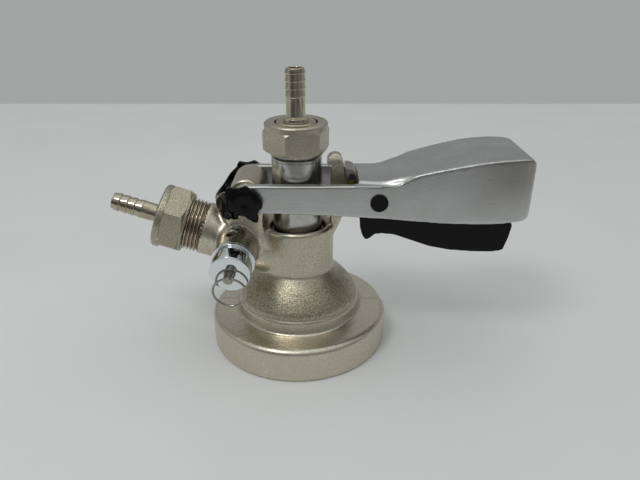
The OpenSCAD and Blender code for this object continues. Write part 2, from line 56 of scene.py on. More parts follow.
# %% The camera
LENS_MM = 31.52
CAMERA_AT = (0.01127, -0.26095, 0.1778)
CAMERA_TILT = 64.67

camera_data = bpy.data.cameras.new("camera")
camera_data.sensor_width = 36
camera_data.lens = LENS_MM
camera = bpy.data.objects.new("camera", camera_data)
camera.location = CAMERA_AT
camera.rotation_euler = (math.radians(CAMERA_TILT), 0, 0)
bpy.context.collection.objects.link(camera)
scene = bpy.context.scene
scene.camera = camera
scene.view_settings.view_transform = "Standard"
print("camera looks down by", 90 - CAMERA_TILT, "degrees")

# %% [markdown]
# ## Light
# Metal shows what stands around it, so the room matters as much as the lamp. One soft lamp hangs
# over the viewer's left shoulder and makes the bright lines on the rounded edges. The room is a
# plain world: grey walls, a bright ceiling, and a dim side where the viewer stands. Upright
# polished faces mirror that dim side, and that is why they look darker than the table. The camera
# itself sees one even pale wall instead of that room, so every side has the same background.

# %% Helpers for shader trees
def add(tree, kind, settings=None, **sockets):
    """Adds a node, sets its own settings, and fills or links its sockets."""
    made = tree.nodes.new("ShaderNode" + kind)
    for key, value in (settings or {}).items():
        setattr(made, key, value)
    for key, value in sockets.items():
        socket = made.inputs[int(key[1:]) if key[0] == "i" and key[1:].isdigit() else key.replace("_", " ")]
        if isinstance(value, bpy.types.NodeSocket):
            tree.links.new(value, socket)
        else:
            socket.default_value = value
    return made


def ramp(tree, source, stops):
    """A colour ramp through (place, grey or colour) stops."""
    made = add(tree, "ValToRGB", i0=source)
    band = made.color_ramp
    while len(band.elements) < len(stops):
        band.elements.new(0.5)
    for element, (place, colour) in zip(band.elements, stops):
        element.position = place
        element.color = (colour, colour, colour, 1) if isinstance(colour, float) else (*colour, 1)
    return made.outputs["Color"]


# %% The room and the lamp
# WALLS is the light from straight below (0) to straight above (1). VIEWER_SIDE multiplies it
# around the compass, where 0.5 is towards the viewer, and fades out above DIM_FROM_TO.
WALLS = [(0.0, 0.30), (0.40, 0.36), (0.50, 0.36), (0.58, 0.29), (0.66, 0.29), (0.74, 0.35), (0.84, 0.46),
         (0.93, 0.70), (1.0, 0.95)]
VIEWER_SIDE = [(0.0, 1.0), (0.24, 1.0), (0.28, 1.5), (0.32, 1.0), (0.37, 0.35), (0.46, 0.35), (0.50, 0.65),
               (0.54, 0.5), (0.60, 0.5), (0.67, 0.8), (0.706, 0.4), (0.744, 1.0), (1.0, 1.0)]
DIM_FROM_TO = (0.25, 0.6)
ROOM_TINT = (0.97, 1.0, 0.99)
SEEN_WALL = (0.36, 0.375, 0.37)
LAMP_AT = (-0.27, -0.37, 0.80)
LAMP_SIZE = (0.26, 0.18)
LAMP_WATTS = 1.2
LAMP_POINTS_AT = (0.02, 0, 0.05)

world = bpy.data.worlds.new("room")
scene.world = world
world.use_nodes = True
room = world.node_tree
room.nodes.clear()
facing = add(room, "SeparateXYZ", i0=add(room, "TexCoord").outputs["Generated"])
level = add(room, "MapRange", i0=facing.outputs["Z"], i1=-1.0, i2=1.0).outputs["Result"]
walls = ramp(room, level, WALLS)
behind = add(room, "Math", {"operation": "MULTIPLY"}, i0=facing.outputs["Y"], i1=-1.0).outputs[0]
around = add(room, "Math", {"operation": "ARCTAN2"}, i0=facing.outputs["X"], i1=behind).outputs[0]
turn = add(room, "MapRange", i0=around, i1=-math.pi, i2=math.pi).outputs["Result"]
near_floor = add(room, "MapRange", i0=facing.outputs["Z"], i1=DIM_FROM_TO[0], i2=DIM_FROM_TO[1],
                 i3=1.0, i4=0.0).outputs["Result"]
dimmed = add(room, "Mix", {"data_type": "RGBA", "blend_type": "MULTIPLY"}, i0=near_floor, i6=walls,
             i7=ramp(room, turn, VIEWER_SIDE))
tinted = add(room, "Mix", {"data_type": "RGBA", "blend_type": "MULTIPLY"}, i0=1.0, i6=dimmed.outputs[2],
             i7=(*ROOM_TINT, 1))
back = add(room, "Background", Color=tinted.outputs[2], Strength=1.0)
seen_wall = add(room, "Background", Color=(*SEEN_WALL, 1), Strength=1.0)
which = add(room, "MixShader", i0=add(room, "LightPath").outputs["Is Camera Ray"], i1=back.outputs[0],
            i2=seen_wall.outputs[0])
add(room, "OutputWorld", Surface=which.outputs[0])

lamp_data = bpy.data.lights.new("soft_lamp", "AREA")
lamp_data.shape = "RECTANGLE"
lamp_data.size, lamp_data.size_y = LAMP_SIZE
lamp_data.energy = LAMP_WATTS
lamp = bpy.data.objects.new("soft_lamp", lamp_data)
lamp.location = LAMP_AT
lamp.rotation_euler = (Vector(LAMP_POINTS_AT) - Vector(LAMP_AT)).to_track_quat("-Z", "Y").to_euler()
bpy.context.collection.objects.link(lamp)
print("lamp", LAMP_SIZE, "m at", LAMP_AT)

# %% [markdown]
# ## Shapes out of rings
# Most of a coupler is turned on a lathe, so one helper makes nearly all of it: a closed profile
# of (radius, height) points swept around an axis. A second function may change the radius with
# the angle, and that turns a plain disc into a hexagon or a screw thread. The other ways, such as
# booleans between cylinders and prisms, leave ragged edges where two faces meet.

# %% The lathe
def eased(points, radius=0.25, steps=3):
    """Rounds the corners of a closed profile, so that every edge catches a little light."""
    out = []
    count = len(points)
    for i, corner in enumerate(points):
        corner = np.array(corner, float)
        before = np.array(points[i - 1], float) - corner
        after = np.array(points[(i + 1) % count], float) - corner
        len_b, len_a = np.hypot(*before), np.hypot(*after)
        reach = min(radius, 0.45 * len_b, 0.45 * len_a)
        straight = abs(before[0] * after[1] - before[1] * after[0]) < 0.02 * len_b * len_a
        if corner[0] < 1e-6 or straight:
            out.append(tuple(corner))
            continue
        start, end = corner + before / len_b * reach, corner + after / len_a * reach
        for k in range(steps + 1):
            t = k / steps
            out.append(tuple((1 - t) ** 2 * start + 2 * t * (1 - t) * corner + t * t * end))
    return out


def filled(points, gap):
    """Adds points along the long stretches of a profile."""
    out = []
    for i, a in enumerate(points):
        a, b = np.array(a), np.array(points[(i + 1) % len(points)])
        parts = max(1, int(np.ceil(np.hypot(*(b - a)) / gap)))
        out += [tuple(a + (b - a) * k / parts) for k in range(parts)]
    return out


def sharpen(mesh, degrees=32):
    for face in mesh.polygons:
        face.use_smooth = True
    mesh.set_sharp_from_angle(angle=math.radians(degrees))


def turned(name, profile, place=Matrix(), sides=128, shape=None, start=0.0, sharp=32):
    """Sweeps a closed profile, in millimetres, around local Z. shape(r, z, angle) bends the radius."""
    rz = np.array(profile, float)
    angles = np.radians(start + np.arange(sides) * 360 / sides)
    r = np.repeat(rz[:, :1], sides, 1)
    z = np.repeat(rz[:, 1:], sides, 1)
    a = np.repeat(angles[None, :], len(rz), 0)
    if shape:
        r = shape(r, z, a)
    points = np.stack([r * np.cos(a), r * np.sin(a), z], -1).reshape(-1, 3) * MM
    rings, around = np.meshgrid(np.arange(len(rz)), np.arange(sides), indexing="ij")
    up, on = (rings + 1) % len(rz), (around + 1) % sides
    faces = np.stack([rings * sides + around, up * sides + around, up * sides + on, rings * sides + on], -1)
    mesh = bpy.data.meshes.new(name)
    mesh.from_pydata(points.tolist(), [], faces.reshape(-1, 4).tolist())
    return settled(name, mesh, place, sharp)


def settled(name, mesh, place=Matrix(), sharp=32):
    """Cleans a mesh, puts it in place and makes an object of it."""
    work = bmesh.new()
    work.from_mesh(mesh)
    bmesh.ops.remove_doubles(work, verts=work.verts, dist=1e-6)
    bmesh.ops.dissolve_degenerate(work, edges=work.edges, dist=1e-7)
    bmesh.ops.recalc_face_normals(work, faces=work.faces)
    work.to_mesh(mesh)
    work.free()
    mesh.transform(place)
    sharpen(mesh, sharp)
    made = bpy.data.objects.new(name, mesh)
    bpy.context.collection.objects.link(made)
    print(name, len(mesh.vertices), "points")
    return made


# %% The two slanted axes
# The gas inlet and the relief valve have axes of their own, with the probe's height as origin.
GAS_PLACE = Matrix.Translation((0, 0, 0.04565)) @ Matrix.Rotation(math.radians(18.4 - 90), 4, "Y")
RELIEF_PLACE = (Matrix.Translation((-0.0301, -0.0365, 0.0541))
                @ Matrix.Rotation(math.radians(-92.5), 4, "Z") @ Matrix.Rotation(math.radians(98.5), 4, "Y"))

# %% [markdown]
# ## Finishes
# Each finish is a small tree of noise textures in the object's own coordinates, in metres, so a
# grain of half a millimetre is half a millimetre on every piece. Noise drives three things at
# once: the colour, the roughness and a bump, because on real metal a pit is also a dull spot.

# %% Parts of a finish
def new_finish(name, metallic, colour, roughness):
    material = bpy.data.materials.new(name)
    material.use_nodes = True
    tree = material.node_tree
    shader = tree.nodes["Principled BSDF"]
    shader.inputs["Metallic"].default_value = metallic
    shader.inputs["Base Color"].default_value = (*colour, 1)
    shader.inputs["Roughness"].default_value = roughness
    return material, tree, shader


def grain(tree, size_mm, detail=2.0, stretch=(1, 1, 1), seed=0.0):
    """Noise whose grains are about size_mm across, longer along an axis with a stretch over 1."""
    where = add(tree, "TexCoord").outputs["Object"]
    scale = [1000 / size_mm / s for s in stretch]
    placed = add(tree, "Mapping", i0=where, Scale=scale, Location=(seed, seed * 1.7, seed * 0.6))
    return add(tree, "TexNoise", Vector=placed.outputs[0], Scale=1.0, Detail=detail).outputs["Fac"]


def spread(tree, source, low, high, start=0.3, end=0.7):
    return add(tree, "MapRange", i0=source, i1=start, i2=end, i3=low, i4=high).outputs["Result"]


def mixed(tree, factor, a, b):
    made = add(tree, "Mix", {"data_type": "RGBA"})
    for index, value in ((0, factor), (6, a), (7, b)):
        if isinstance(value, bpy.types.NodeSocket):
            tree.links.new(value, made.inputs[index])
        else:
            made.inputs[index].default_value = (*value, 1) if index else value
    return made.outputs[2]


def sums(tree, a, b, what="ADD"):
    return add(tree, "Math", {"operation": what}, i0=a, i1=b).outputs[0]


def pressed(tree, shader, height, depth_mm):
    """Bumps the surface by depth_mm, on top of any bump that it has."""
    made = add(tree, "Bump", Height=height, Strength=1.0, Distance=depth_mm * MM)
    old = shader.inputs["Normal"].links
    if old:
        tree.links.new(old[0].from_socket, made.inputs["Normal"])
    tree.links.new(made.outputs[0], shader.inputs["Normal"])


def edges_of(tree, low=0.5, high=0.56):
    """1 on outer edges, where handling rubs a surface bright, and 0 elsewhere; with low above high, 1 in
    hollows instead.
    """
    sharp = add(tree, "NewGeometry").outputs["Pointiness"]
    return spread(tree, sharp, 0.0, 1.0, low, high)


# %% [markdown]
# ### Cast nickel
# The body is sand-cast brass, blasted and then nickel plated. The blasting leaves a glittering
# grain of about half a millimetre, coarse on the bell and fine on the neck, and the plating is
# smooth and runny around the gas inlet. Raised edges are polished by handling. The bell is painted
# darker, partly for its coarser sand and partly as painted shade. The drain hole of the relief boss
# and the inside of the neck are painted darker as painted shade, because little light gets into them.

# %% The cast body's finish
DRAIN_HOLE = (-31, -18.6)


def shadowed(tree, where, middle_mm, inner_mm, outer_mm):
    """1 inside an upright hole of the upper casting, and 0 outside it."""
    across = sums(tree, where.outputs["X"], middle_mm[0] * MM, "SUBTRACT")
    deep = sums(tree, where.outputs["Y"], middle_mm[1] * MM, "SUBTRACT")
    square = sums(tree, sums(tree, across, across, "MULTIPLY"), sums(tree, deep, deep, "MULTIPLY"))
    inside = spread(tree, square, 1.0, 0.0, (inner_mm * MM) ** 2, (outer_mm * MM) ** 2)
    return sums(tree, inside, spread(tree, where.outputs["Z"], 0.0, 1.0, 0.050, 0.056), "MULTIPLY")


def cast_nickel():
    material, tree, shader = new_finish("cast_nickel", 1.0, (0.60, 0.55, 0.43), 0.36)
    where = add(tree, "SeparateXYZ", i0=add(tree, "TexCoord").outputs["Object"])
    inlet = spread(tree, where.outputs["X"], 1.0, 0.0, -0.024, -0.014)
    high = spread(tree, where.outputs["Z"], 0.0, 1.0, 0.040, 0.048)
    runny = sums(tree, inlet, high, "MULTIPLY")
    coarse = sums(tree, spread(tree, where.outputs["Z"], 0.0, 1.0, 0.023, 0.027),
                  spread(tree, where.outputs["Z"], 1.0, 0.25, 0.036, 0.043), "MULTIPLY")
    sand = grain(tree, 0.62, 2.0)
    dust = grain(tree, 0.32, 1.0, seed=5)
    patches = grain(tree, 14, 3.0, seed=9)
    flecks = spread(tree, sums(tree, sand, spread(tree, dust, -0.12, 0.12)), 0.0, 1.0, 0.36, 0.64)
    fine = mixed(tree, flecks, (0.56, 0.515, 0.41), (0.72, 0.68, 0.58))
    fine = mixed(tree, spread(tree, patches, 0.0, 0.6), fine, (0.60, 0.555, 0.45))
    # The bell's darker colour is partly its coarser sand and partly painted shade.
    bell = mixed(tree, flecks, (0.24, 0.205, 0.14), (0.60, 0.555, 0.42))
    shade = mixed(tree, spread(tree, coarse, 0.0, 1.0, 0.0, 1.0), fine, bell)
    shade = mixed(tree, edges_of(tree, 0.515, 0.57), shade, (0.80, 0.76, 0.66))
    # Painted shade: the drain hole and the inside of the neck are darkened.
    shade = mixed(tree, shadowed(tree, where, DRAIN_HOLE, 2.1, 2.6), shade, (0.035, 0.030, 0.025))
    shade = mixed(tree, shadowed(tree, where, (0, 0), 13.9, 14.7), shade, (0.16, 0.14, 0.10))
    tree.links.new(shade, shader.inputs["Base Color"])
    dull = sums(tree, spread(tree, flecks, 0.40, 0.26, 0.0, 1.0), spread(tree, coarse, 0.0, 0.10, 0.0, 1.0))
    dull = sums(tree, dull, spread(tree, runny, 0.0, 0.06, 0.0, 1.0), "SUBTRACT")
    tree.links.new(dull, shader.inputs["Roughness"])
    skin = sums(tree, spread(tree, coarse, 0.35, 1.0, 0.0, 1.0),
                spread(tree, runny, 1.0, 0.3, 0.0, 1.0), "MULTIPLY")
    pressed(tree, shader, grain(tree, 6, 2.0, seed=3), 0.12)
    pressed(tree, shader, sums(tree, flecks, skin, "MULTIPLY"), 0.045)
    return material


CAST_NICKEL = cast_nickel()

# %% [markdown]
# ### Machined nickel, steel, chrome and springs
# Turned parts keep the fine rings of the lathe tool. Each of these finishes is the same small
# tree with other numbers: two colours, two roughnesses, a grain, and the way that it is stretched.
# The nuts' flats and the gas thread have small trees of their own.

# %% One function for the smoother metals
def worked_metal(name, pale, dark, shine, dull, size_mm, stretch=(1, 1, 1), depth=0.01, edge=None, spots=0.0):
    material, tree, shader = new_finish(name, 1.0, pale, dull)
    fine = grain(tree, size_mm, 3.0, stretch)
    cloud = grain(tree, 6, 3.0, seed=4)
    shade = mixed(tree, spread(tree, cloud, 0.0, 1.0, 0.35, 0.7), pale, dark)
    if spots:
        stain = grain(tree, 2.2, 2.0, seed=7)
        shade = mixed(tree, spread(tree, stain, 0.0, spots, 0.62, 0.72), shade, tuple(0.35 * c for c in dark))
    if edge:
        shade = mixed(tree, edges_of(tree, 0.51, 0.58), shade, edge)
    tree.links.new(shade, shader.inputs["Base Color"])
    tree.links.new(spread(tree, fine, shine, dull), shader.inputs["Roughness"])
    pressed(tree, shader, fine, depth)
    return material


TURNED_NICKEL = worked_metal("turned_nickel", (0.52, 0.47, 0.37), (0.42, 0.37, 0.28), 0.08, 0.16, 0.5,
                             (4, 4, 0.4), 0.003, (0.80, 0.77, 0.69), 0.5)
POLISHED_STEEL = worked_metal("polished_steel", (0.55, 0.545, 0.52), (0.46, 0.45, 0.42), 0.15, 0.26, 0.4,
                              (6, 6, 0.3), 0.003, None, 0.4)
MIRROR_CHROME = worked_metal("mirror_chrome", (0.80, 0.83, 0.85), (0.77, 0.80, 0.83), 0.03, 0.06, 1.0,
                             depth=0.0004)
DRAWN_STEEL = worked_metal("drawn_steel", (0.42, 0.40, 0.36), (0.33, 0.31, 0.28), 0.16, 0.30, 0.4,
                           depth=0.004)
DARK_ZINC = worked_metal("dark_zinc", (0.15, 0.135, 0.11), (0.09, 0.08, 0.065), 0.22, 0.38, 0.5, depth=0.03,
                         edge=(0.42, 0.39, 0.33))
BARE_BRASS = worked_metal("bare_brass", (0.98, 0.76, 0.26), (0.90, 0.66, 0.18), 0.22, 0.34, 0.5, depth=0.003)


def sanded_nickel(name, dark, depth):
    """The flats of a nut: a plated skin of sand, with rubbed corners."""
    material, tree, shader = new_finish(name, 1.0, (0.50, 0.47, 0.37), 0.4)
    sand = grain(tree, 0.5, 2.0)
    cloud = grain(tree, 5, 2.0, seed=4)
    shade = mixed(tree, spread(tree, sand, 0.0, 1.0, 0.38, 0.62), dark, (0.60, 0.565, 0.46))
    shade = mixed(tree, spread(tree, cloud, 0.0, 0.35), shade, (0.42, 0.385, 0.29))
    shade = mixed(tree, edges_of(tree, 0.53, 0.62), shade, (0.80, 0.76, 0.66))
    tree.links.new(shade, shader.inputs["Base Color"])
    tree.links.new(spread(tree, sand, 0.46, 0.30), shader.inputs["Roughness"])
    pressed(tree, shader, sand, depth)
    return material


SANDED_NICKEL = sanded_nickel("sanded_nickel", (0.27, 0.245, 0.17), 0.13)
SMOOTHER_NICKEL = sanded_nickel("smoother_nickel", (0.43, 0.40, 0.31), 0.03)


def thread_nickel():
    """A cut thread: rubbed crests, and painted shade in the roots."""
    material, tree, shader = new_finish("thread_nickel", 1.0, (0.50, 0.44, 0.34), 0.2)
    fine = grain(tree, 0.7, 3.0)
    shade = mixed(tree, spread(tree, fine, 0.0, 1.0, 0.35, 0.7), (0.46, 0.40, 0.30), (0.38, 0.31, 0.22))
    # Painted shade: the hollows at the thread's roots are darkened.
    shade = mixed(tree, edges_of(tree, 0.50, 0.44), shade, (0.13, 0.09, 0.055))
    shade = mixed(tree, edges_of(tree, 0.52, 0.60), shade, (0.74, 0.69, 0.58))
    tree.links.new(shade, shader.inputs["Base Color"])
    tree.links.new(spread(tree, fine, 0.14, 0.26), shader.inputs["Roughness"])
    pressed(tree, shader, fine, 0.006)
    return material


THREAD_NICKEL = thread_nickel()

# %% [markdown]
# ### Tumbled aluminium
# The handle is a die casting that was ground along its length and tumbled. Long faint scratches
# run along X, and the creases are rubbed bright. The sides near the grip's end are painted a little
# darker, as painted shade where the metal turns away from the viewer.

# %% The handle's finish
def tumbled_aluminium():
    material, tree, shader = new_finish("tumbled_aluminium", 1.0, (0.55, 0.555, 0.55), 0.34)
    lines = grain(tree, 0.35, 2.0, (60, 1, 1))
    broad = grain(tree, 1.6, 2.0, (30, 1, 1), seed=2)
    cloud = grain(tree, 18, 2.0, seed=6)
    shade = mixed(tree, spread(tree, cloud, 0.0, 1.0, 0.35, 0.7), (0.58, 0.585, 0.58), (0.50, 0.50, 0.49))
    shade = mixed(tree, spread(tree, lines, 0.0, 0.4, 0.42, 0.66), shade, (0.68, 0.685, 0.68))
    shade = mixed(tree, sums(tree, edges_of(tree, 0.52, 0.60), 0.5, "MULTIPLY"), shade, (0.80, 0.80, 0.79))
    along = add(tree, "SeparateXYZ", i0=add(tree, "TexCoord").outputs["Object"])
    upright = add(tree, "SeparateXYZ", i0=add(tree, "NewGeometry").outputs["Normal"]).outputs["Z"]
    # Painted shade: upright faces near the grip's end are darkened.
    grip_end_shade = sums(tree, spread(tree, along.outputs["X"], 0.0, 1.0, 0.070, 0.112),
                spread(tree, along.outputs["Z"], 0.0, 1.0, 0.073, 0.092), "MULTIPLY")
    grip_end_shade = sums(tree, grip_end_shade, spread(tree, upright, 1.0, 0.0, 0.3, 0.7), "MULTIPLY")
    shade = mixed(tree, spread(tree, grip_end_shade, 0.0, 0.8, 0.0, 1.0), shade, (0.24, 0.215, 0.20))
    tree.links.new(shade, shader.inputs["Base Color"])
    rough = sums(tree, spread(tree, lines, 0.24, 0.36), spread(tree, broad, 0.0, 0.08))
    tree.links.new(rough, shader.inputs["Roughness"])
    pressed(tree, shader, grain(tree, 0.9, 2.0, seed=8), 0.012)
    pressed(tree, shader, lines, 0.012)
    pressed(tree, shader, broad, 0.02)
    return material


TUMBLED_ALUMINIUM = tumbled_aluminium()

# %% [markdown]
# ### Plastics and rubber
# The trigger is matt black nylon with the fine sparkle of a spark-eroded mould. The clip with the
# two lobed discs comes from a polished mould, so it is nearly black glass. Rubber seals are dull.

# %% The mouldings' finishes
def moulded(name, colour, low, high, grain_mm, depth, shine=0.5, sheen=0.0):
    material, tree, shader = new_finish(name, 0.0, colour, high)
    texture = grain(tree, grain_mm, 3.0)
    cloud = grain(tree, 9, 2.0, seed=3)
    lighter = tuple(min(1, 1.25 * c + 0.004) for c in colour)
    shade = mixed(tree, spread(tree, texture, 0.0, 1.0, 0.35, 0.7), colour, lighter)
    tree.links.new(shade, shader.inputs["Base Color"])
    tree.links.new(sums(tree, spread(tree, texture, low, high), spread(tree, cloud, 0.0, 0.06)),
                   shader.inputs["Roughness"])
    shader.inputs["Specular IOR Level"].default_value = shine
    shader.inputs["Sheen Weight"].default_value = sheen
    pressed(tree, shader, texture, depth)
    return material


BLACK_NYLON = moulded("black_nylon", (0.005, 0.004, 0.005), 0.34, 0.46, 0.5, 0.02, 0.18)
GLOSSY_NYLON = moulded("glossy_nylon", (0.003, 0.0025, 0.003), 0.08, 0.16, 2.5, 0.04, 0.16)
DULL_RUBBER = moulded("dull_rubber", (0.018, 0.018, 0.019), 0.55, 0.75, 0.6, 0.02, 0.4, 0.1)
WHITE_ACETAL = moulded("white_acetal", (0.74, 0.74, 0.70), 0.28, 0.40, 0.8, 0.006)

# %% The table top
def table_paper():
    material, tree, shader = new_finish("table_paper", 0.0, (0.84, 0.845, 0.84), 0.6)
    cloud = grain(tree, 90, 3.0)
    shade = mixed(tree, spread(tree, cloud, 0.0, 1.0, 0.35, 0.7), (0.835, 0.84, 0.835), (0.86, 0.865, 0.86))
    tree.links.new(shade, shader.inputs["Base Color"])
    tree.links.new(spread(tree, grain(tree, 3, 2.0), 0.5, 0.62), shader.inputs["Roughness"])
    shader.inputs["Specular IOR Level"].default_value = 0.25
    return material


TABLE_REACH = ((-0.9, 0.9), (-0.26, 0.60))
(x0, x1), (y0, y1) = TABLE_REACH
table_mesh = bpy.data.meshes.new("table")
table_mesh.from_pydata([(x0, y0, 0), (x1, y0, 0), (x1, y1, 0), (x0, y1, 0)], [], [(0, 1, 2, 3)])
table_mesh.materials.append(table_paper())
table = bpy.data.objects.new("table", table_mesh)
bpy.context.collection.objects.link(table)

# %% [markdown]
# ## The casting
# The casting's solid has sharp corners where the bosses meet the neck, but the real one was made
# in sand, with a hand-smoothed pattern, and flows there. Its mesh is copied and rebuilt from
# small even faces (a voxel remesh). Then every point is relaxed towards its neighbours: a few
# times everywhere, which breaks the edges, and many times where the gas inlet, the relief boss
# and the hinge ear run into each other, which grows the wide fillets of the real casting.

# %% Relaxing a copy of a solid
def remade(node, voxel_mm, relax, carve=None):
    """A copy of a CAD node's mesh in even faces. relax is a list of (share per point, passes)."""
    copy = bpy.data.objects.new(node + "_copy", nodes[node].data.copy())
    bpy.context.collection.objects.link(copy)
    step = copy.modifiers.new("even", "REMESH")
    step.mode = "VOXEL"
    step.voxel_size = voxel_mm * MM
    bake(copy)
    if carve:
        put_points(copy.data, carve(points_of(copy.data) / MM) * MM)
    for share, passes in relax:
        group = copy.vertex_groups.new(name="relax")
        if share is None:
            weights = np.ones(len(copy.data.vertices))
        else:
            weights = np.clip(share(points_of(copy.data) / MM), 0, 1)
        for k in range(1, 9):
            chosen = np.nonzero(np.round(weights * 8) == k)[0]
            if len(chosen):
                group.add(chosen.tolist(), k / 8, "REPLACE")
        step = copy.modifiers.new("relax", "SMOOTH")
        step.factor = 0.5
        step.iterations = passes
        step.vertex_group = "relax"
        bake(copy)
        copy.vertex_groups.clear()
    return copy


def bake(piece):
    """Turns the modifiers of a piece into its mesh."""
    seen = piece.evaluated_get(bpy.context.evaluated_depsgraph_get())
    mesh = bpy.data.meshes.new_from_object(seen)
    piece.modifiers.clear()
    piece.data = mesh


def points_of(mesh):
    flat = np.empty(len(mesh.vertices) * 3)
    mesh.vertices.foreach_get("co", flat)
    return flat.reshape(-1, 3)


def put_points(mesh, points):
    mesh.vertices.foreach_set("co", points.ravel())
    mesh.update()


def ease(values, low, high):
    t = np.clip((values - low) / (high - low), 0, 1)
    return t * t * (3 - 2 * t)


def local(points_mm, place):
    """Points, in millimetres, as seen from a slanted axis."""
    inverse = np.array(place.inverted())
    return (points_mm * MM) @ inverse[:3, :3].T / MM + inverse[:3, 3] / MM


# %% The casting
NECK_EDGE_R = 15.2
POST_CUT_Z = 74


def around_the_bosses(p):
    """High where the inlet, the relief boss and the ear meet the neck; nought on machined faces."""
    gas, relief = local(p, GAS_PLACE), local(p, RELIEF_PLACE)
    share = ease(-p[:, 0], 2, 13) * ease(p[:, 2], 38, 47) * (1 - ease(p[:, 2], 70, 75))
    share *= 1 - ease(gas[:, 2], 47.5, 49.5)
    share *= 1 - ease(relief[:, 2], -14.5, -12.5)
    bore = (np.hypot(gas[:, 0], gas[:, 1]) < 10.5) | (np.hypot(relief[:, 0], relief[:, 1]) < 7.5)
    neck_hole = np.hypot(p[:, 0], p[:, 1]) < NECK_EDGE_R
    share[bore | neck_hole] = 0
    return share * ease(np.hypot(p[:, 0] - DRAIN_HOLE[0], p[:, 1] - DRAIN_HOLE[1]), 2.4, 4.4)


def around_the_post(p):
    outside_neck = np.hypot(p[:, 0], p[:, 1]) > NECK_EDGE_R
    return ease(p[:, 0], 10, 14) * ease(p[:, 2], 46, 52) * (1 - ease(p[:, 2], 62, 68)) * outside_neck


def without_post_head(p):
    """Sinks the post's upper half, which is made as a sharper piece of its own below."""
    head = (p[:, 0] > 12) & (np.abs(p[:, 1]) < 6) & (p[:, 2] > POST_CUT_Z)
    p[:, 2] = np.where(head, POST_CUT_Z, p[:, 2])
    p[:, 0] = np.where(head, np.clip(p[:, 0], 17.5, 21.5), p[:, 0])
    p[:, 1] = np.where(head, np.clip(p[:, 1], -3.5, 3.5), p[:, 1])
    return p


VOXEL = 0.55
casting = remade("coupler_body", VOXEL, [(None, 3), (around_the_bosses, 90), (around_the_post, 30)],
                 without_post_head)
# The inlet's threaded end sinks under the screw thread that is made further down.
SUNK_R = 11.6
shape = points_of(casting.data) / MM
gas = local(shape, GAS_PLACE)
gas_r = np.hypot(gas[:, 0], gas[:, 1])
ridge = (gas[:, 2] > 50.2) & (gas[:, 2] < 67) & (gas_r > 10.8)
sunk = np.where(ridge, np.minimum(1, SUNK_R / np.maximum(gas_r, 1e-6)), 1)
gas[:, 0] *= sunk
gas[:, 1] *= sunk
put_points(casting.data, np.where(ridge[:, None], (np.c_[gas, np.ones(len(gas))] * [MM, MM, MM, 1])
                                  @ np.array(GAS_PLACE).T[:, :3] / MM, shape) * MM)
casting.name = casting.data.name = "casting"
sharpen(casting.data, 55)
casting.data.materials.clear()
casting.data.materials.append(CAST_NICKEL)
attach(casting, "body")
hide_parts("coupler_body")
print("casting", len(casting.data.vertices), "points")

# %% [markdown]
# ## The catch post's head
# The latch snaps under a hooked head at the top of the post. The slit under the hook is less
# than a millimetre wide, too fine for the faces of the big casting, so the upper post is a piece
# of its own: its side outline is given a width, rebuilt in quarter-millimetre faces and relaxed.

# %% The catch post's head
POST_HALF_W = 4.45
DOME_AT, DOME_R = (18.5, 97), 3.8
PIN_AT, SWING_R = (-24, 83), 48.3


def post_outline():
    """The side view in X and Z. The handle's side is an arc about the hinge pin."""
    hook = [(16.6, 68), (16.6, 94.2), (20.2, 96.4), (20.7, 97.3), (19.9, 97.9), (16.2, 95.8), (15.2, 95.2)]
    turns = [math.radians(a) for a in range(185, 35, -12)]
    dome = [(DOME_AT[0] + DOME_R * math.cos(t), DOME_AT[1] + DOME_R * math.sin(t)) for t in turns]
    swing = [(PIN_AT[0] + math.sqrt(SWING_R ** 2 - (z - PIN_AT[1]) ** 2), z)
             for z in (97, 94, 90, 86, 82, 78, 74, 70, 68)]
    return hook + dome + swing


outline = post_outline()
count = len(outline)
post_mesh = bpy.data.meshes.new("catch_post")
post_mesh.from_pydata([(x * MM, side * POST_HALF_W * MM, z * MM) for side in (-1, 1) for x, z in outline], [],
                      [list(range(count)), list(range(2 * count - 1, count - 1, -1))]
                      + [(i, (i + 1) % count, (i + 1) % count + count, i + count) for i in range(count)])
post = settled("catch_post", post_mesh)
step = post.modifiers.new("even", "REMESH")
step.mode = "VOXEL"
step.voxel_size = 0.25 * MM
bake(post)
shape = points_of(post.data) / MM
shape[:, 1] *= 1 - 0.45 * ease(shape[:, 2], 95, 101.5) ** 2
put_points(post.data, shape * MM)
step = post.modifiers.new("relax", "SMOOTH")
step.factor, step.iterations = 0.5, 6
bake(post)
sharpen(post.data, 60)
post.data.materials.clear()
post.data.materials.append(CAST_NICKEL)
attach(post, "body")

# %% [markdown]
# ## The gas thread
# A screw thread is one helix, so the radius of the lathe's rings follows the angle: the ridge
# climbs by one pitch in each turn. It runs out on a chamfer at the open end.

# %% The gas thread
PITCH = 1.814
THREAD_CREST, THREAD_ROOT, THREAD_BORE = 13.22, 12.1, 9.6
THREAD_LOW, THREAD_HIGH = 50.0, 65.95


def helix(crest, root, low, high):
    """A radius function for turned(): one ridge that climbs by a pitch in each turn."""
    def shape(r, z, a):
        turn = ((z - low) / PITCH - a / (2 * math.pi)) % 1
        ridge = np.clip(1.9 - 5.2 * np.abs(turn - 0.5), 0, 1)
        ridge *= ease(z, low, low + 1.2)
        outer = root + (crest - root) * ridge
        outer = np.minimum(outer, root + 0.1 + (high - z) * 0.9)
        return np.where(r > root - 0.5, np.minimum(outer, crest), r)
    return shape


def dress(piece, finish, slot, body, *stands_for):
    """Gives a piece its finish and the body that it moves with. slot is not used."""
    piece.data.materials.clear()
    piece.data.materials.append(finish)
    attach(piece, body)
    if stands_for:
        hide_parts(*stands_for)
    return piece


